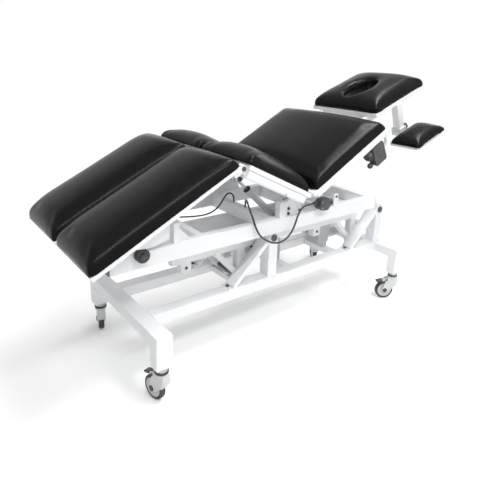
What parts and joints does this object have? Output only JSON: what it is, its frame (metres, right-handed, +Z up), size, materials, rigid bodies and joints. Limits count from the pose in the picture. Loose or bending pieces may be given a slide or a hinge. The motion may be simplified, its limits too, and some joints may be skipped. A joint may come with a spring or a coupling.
{
  "type": "physiotherapy table",
  "caption": "Wheeled physiotherapy treatment table with a parallel lift frame and tilting leg, seat, back and head cushion sections and armrests.",
  "frame": {"origin": "floor level under the middle of the table's length and width", "axes": "+X towards the head section, +Y to the table's far side (the patient's right when lying face up), +Z up"},
  "size_m": [1.887, 0.81, 1.2147],
  "materials": {
    "white_frame": "satin",
    "leatherette": "satin",
    "castor_grey": "satin",
    "pedal_grey": "matte",
    "tyre_black": "matte",
    "rubber_black": "matte",
    "black_plastic": "matte",
    "case_grey": "matte",
    "cylinder_grey": "satin",
    "light_grey": "satin",
    "brake_grey": "satin",
    "steel": "satin",
    "cable_black": "satin"
  },
  "bodies": {
    "base": {"base_frame": "white_frame", "lift_towers": "white_frame", "tower_pins": "steel", "base_caps": "black_plastic", "lift_motor": "case_grey"},
    "mid_arm": {"mid_arm": "white_frame"},
    "head_arm": {"head_arm": "white_frame"},
    "lift_rod": {"lift_rod": "steel"},
    "upper_frame": {"upper_frame": "white_frame", "hanger_brackets": "white_frame", "frame_pins": "steel", "frame_uprights": "white_frame", "frame_axles": "steel", "frame_caps": "black_plastic", "back_brake": "brake_grey", "frame_control_case": "case_grey", "seat_cable": "cable_black", "frame_cable": "cable_black"},
    "frame_control_knob": {"frame_control_knob": "black_plastic"},
    "seat": {"seat_frame": "white_frame", "seat_pins": "steel", "seat_cushion_near": "leatherette", "seat_cushion_far": "leatherette"},
    "seat_cylinder": {"seat_cylinder": "cylinder_grey"},
    "seat_rod": {"seat_rod": "steel"},
    "back": {"back_frame": "white_frame", "back_cushion": "leatherette", "back_quadrant": "steel", "back_axles": "steel", "head_brake": "brake_grey", "head_control_case": "case_grey"},
    "head_control_knob": {"head_control_knob": "black_plastic"},
    "release_lever": {"release_lever": "black_plastic"},
    "head": {"head_frame": "white_frame", "head_quadrant": "steel", "head_cushion": "leatherette"},
    "leg_near": {"leg_frame_near": "white_frame", "leg_cushion_near": "leatherette"},
    "rest_roller_near": {"rest_roller_near": "rubber_black"},
    "leg_far": {"leg_frame_far": "white_frame", "leg_cushion_far": "leatherette"},
    "rest_roller_far": {"rest_roller_far": "rubber_black"},
    "armrest_near": {"armrest_carrier_near": "light_grey", "armrest_pad_near": "leatherette"},
    "armrest_near_knob": {"armrest_knob_near": "black_plastic"},
    "armrest_far": {"armrest_carrier_far": "light_grey", "armrest_pad_far": "leatherette"},
    "armrest_far_knob": {"armrest_knob_far": "black_plastic"},
    "castor_near_foot": {"castor_fork_near_foot": "castor_grey"},
    "wheel_near_foot": {"castor_wheel_near_foot": "tyre_black"},
    "pedal_near_foot": {"castor_pedal_near_foot": "pedal_grey"},
    "castor_near_head": {"castor_fork_near_head": "castor_grey"},
    "wheel_near_head": {"castor_wheel_near_head": "tyre_black"},
    "pedal_near_head": {"castor_pedal_near_head": "pedal_grey"},
    "castor_far_foot": {"castor_fork_far_foot": "castor_grey"},
    "wheel_far_foot": {"castor_wheel_far_foot": "tyre_black"},
    "pedal_far_foot": {"castor_pedal_far_foot": "pedal_grey"},
    "castor_far_head": {"castor_fork_far_head": "castor_grey"},
    "wheel_far_head": {"castor_wheel_far_head": "tyre_black"},
    "pedal_far_head": {"castor_pedal_far_head": "pedal_grey"}
  },
  "joints": [
    {"name": "table_lift", "type": "hinge", "parent": "base", "child": "mid_arm", "pos_m": [-0.03118, 0, 0.484], "axis": [0, 1, 0], "range_deg": [0, 119]},
    {"name": "head_arm_lift", "type": "hinge", "parent": "base", "child": "head_arm", "pos_m": [0.73882, 0, 0.484], "axis": [0, 1, 0], "range_deg": [0, 119]},
    {"name": "frame_level", "type": "hinge", "parent": "mid_arm", "child": "upper_frame", "pos_m": [-0.15898, 0, 0.30615], "axis": [0, 1, 0], "range_deg": [-119, 0]},
    {"name": "lift_screw", "type": "slide", "parent": "base", "child": "lift_rod", "axis": [-1, 0, 0], "range_m": [0, 0.12063]},
    {"name": "seat_tilt", "type": "hinge", "parent": "upper_frame", "child": "seat", "pos_m": [0.02082, 0, 0.687], "axis": [0, -1, 0], "range_deg": [0, 25.67]},
    {"name": "leg_tilt_near", "type": "hinge", "parent": "seat", "child": "leg_near", "pos_m": [-0.34272, 0, 0.87016], "axis": [0, -1, 0], "range_deg": [-52.83, 0]},
    {"name": "rest_roller_near", "type": "hinge", "parent": "upper_frame", "child": "rest_roller_near", "pos_m": [-0.71518, -0.263, 0.6], "axis": [0, 1, 0], "continuous": true},
    {"name": "leg_tilt_far", "type": "hinge", "parent": "seat", "child": "leg_far", "pos_m": [-0.34272, 0, 0.87016], "axis": [0, -1, 0], "range_deg": [-52.83, 0]},
    {"name": "rest_roller_far", "type": "hinge", "parent": "upper_frame", "child": "rest_roller_far", "pos_m": [-0.71518, 0.263, 0.6], "axis": [0, 1, 0], "continuous": true},
    {"name": "seat_cylinder_swing", "type": "hinge", "parent": "upper_frame", "child": "seat_cylinder", "pos_m": [0.11582, 0, 0.511], "axis": [0, -1, 0], "range_deg": [0, 11.16]},
    {"name": "seat_rod_stroke", "type": "slide", "parent": "seat_cylinder", "child": "seat_rod", "axis": [-0.7371, 0, 0.6758], "range_m": [-0.03612, 0]},
    {"name": "back_tilt", "type": "hinge", "parent": "upper_frame", "child": "back", "pos_m": [0.02082, 0, 0.687], "axis": [0, -1, 0], "range_deg": [-28.46, 14]},
    {"name": "head_tilt", "type": "hinge", "parent": "back", "child": "head", "pos_m": [0.53776, 0, 0.96721], "axis": [0, -1, 0], "range_deg": [-30, 35]},
    {"name": "frame_knob_turn", "type": "hinge", "parent": "upper_frame", "child": "frame_control_knob", "pos_m": [0.24282, -0.2675, 0.64], "axis": [1, 0, 0], "range_deg": [-120, 120]},
    {"name": "head_knob_turn", "type": "hinge", "parent": "back", "child": "head_control_knob", "pos_m": [0.38084, -0.318, 0.8412], "axis": [0.8792, 0, 0.4765], "range_deg": [-120, 120]},
    {"name": "release_turn", "type": "hinge", "parent": "back", "child": "release_lever", "pos_m": [0.41313, -0.318, 0.79842], "axis": [0.8792, 0, 0.4765], "range_deg": [-60, 60]},
    {"name": "armrest_near_height", "type": "slide", "parent": "head", "child": "armrest_near", "axis": [-0.3453, 0, 0.9385], "range_m": [0, 0.1]},
    {"name": "armrest_near_knob_turn", "type": "hinge", "parent": "armrest_near", "child": "armrest_near_knob", "pos_m": [0.80651, -0.198, 0.93183], "axis": [0.9385, 0, 0.3453], "range_deg": [-180, 180]},
    {"name": "armrest_far_height", "type": "slide", "parent": "head", "child": "armrest_far", "axis": [-0.3453, 0, 0.9385], "range_m": [0, 0.1]},
    {"name": "armrest_far_knob_turn", "type": "hinge", "parent": "armrest_far", "child": "armrest_far_knob", "pos_m": [0.80651, 0.198, 0.93183], "axis": [0.9385, 0, 0.3453], "range_deg": [-180, 180]},
    {"name": "swivel_near_foot", "type": "hinge", "parent": "base", "child": "castor_near_foot", "pos_m": [-0.66468, -0.29, 0.149], "axis": [0, 0, 1], "continuous": true},
    {"name": "roll_near_foot", "type": "hinge", "parent": "castor_near_foot", "child": "wheel_near_foot", "pos_m": [-0.673, -0.25087, 0.05], "axis": [-0.9781, -0.2079, 0], "continuous": true},
    {"name": "brake_near_foot", "type": "hinge", "parent": "castor_near_foot", "child": "pedal_near_foot", "pos_m": [-0.67217, -0.25479, 0.112], "axis": [-0.9781, -0.2079, 0], "range_deg": [-6, 6]},
    {"name": "swivel_near_head", "type": "hinge", "parent": "base", "child": "castor_near_head", "pos_m": [0.75732, -0.29, 0.149], "axis": [0, 0, 1], "continuous": true},
    {"name": "roll_near_head", "type": "hinge", "parent": "castor_near_head", "child": "wheel_near_head", "pos_m": [0.72377, -0.26821, 0.05], "axis": [-0.5446, -0.8387, 0], "continuous": true},
    {"name": "brake_near_head", "type": "hinge", "parent": "castor_near_head", "child": "pedal_near_head", "pos_m": [0.72713, -0.27039, 0.112], "axis": [-0.5446, -0.8387, 0], "range_deg": [-6, 6]},
    {"name": "swivel_far_foot", "type": "hinge", "parent": "base", "child": "castor_far_foot", "pos_m": [-0.66468, 0.29, 0.149], "axis": [0, 0, 1], "continuous": true},
    {"name": "roll_far_foot", "type": "hinge", "parent": "castor_far_foot", "child": "wheel_far_foot", "pos_m": [-0.65299, 0.32825, 0.05], "axis": [-0.9563, 0.2924, 0], "continuous": true},
    {"name": "brake_far_foot", "type": "hinge", "parent": "castor_far_foot", "child": "pedal_far_foot", "pos_m": [-0.65416, 0.32443, 0.112], "axis": [-0.9563, 0.2924, 0], "range_deg": [-6, 6]},
    {"name": "swivel_far_head", "type": "hinge", "parent": "base", "child": "castor_far_head", "pos_m": [0.75732, 0.29, 0.149], "axis": [0, 0, 1], "continuous": true},
    {"name": "roll_far_head", "type": "hinge", "parent": "castor_far_head", "child": "wheel_far_head", "pos_m": [0.77732, 0.32464, 0.05], "axis": [-0.866, 0.5, 0], "continuous": true},
    {"name": "brake_far_head", "type": "hinge", "parent": "castor_far_head", "child": "pedal_far_head", "pos_m": [0.77532, 0.32118, 0.112], "axis": [-0.866, 0.5, 0], "range_deg": [-6, 6]}
  ],
  "couplings": [
    {"joint": "head_arm_lift", "follows": "table_lift", "ratio": 1},
    {"joint": "frame_level", "follows": "table_lift", "ratio": -1},
    {"joint": "lift_screw", "follows": "table_lift", "m_per_rad": 0.058077},
    {"joint": "leg_tilt_near", "follows": "seat_tilt", "ratio": -2.0577},
    {"joint": "leg_tilt_far", "follows": "seat_tilt", "ratio": -2.0577},
    {"joint": "seat_cylinder_swing", "follows": "seat_tilt", "ratio": 0.43383},
    {"joint": "seat_rod_stroke", "follows": "seat_tilt", "m_per_rad": -0.080469}
  ]
}
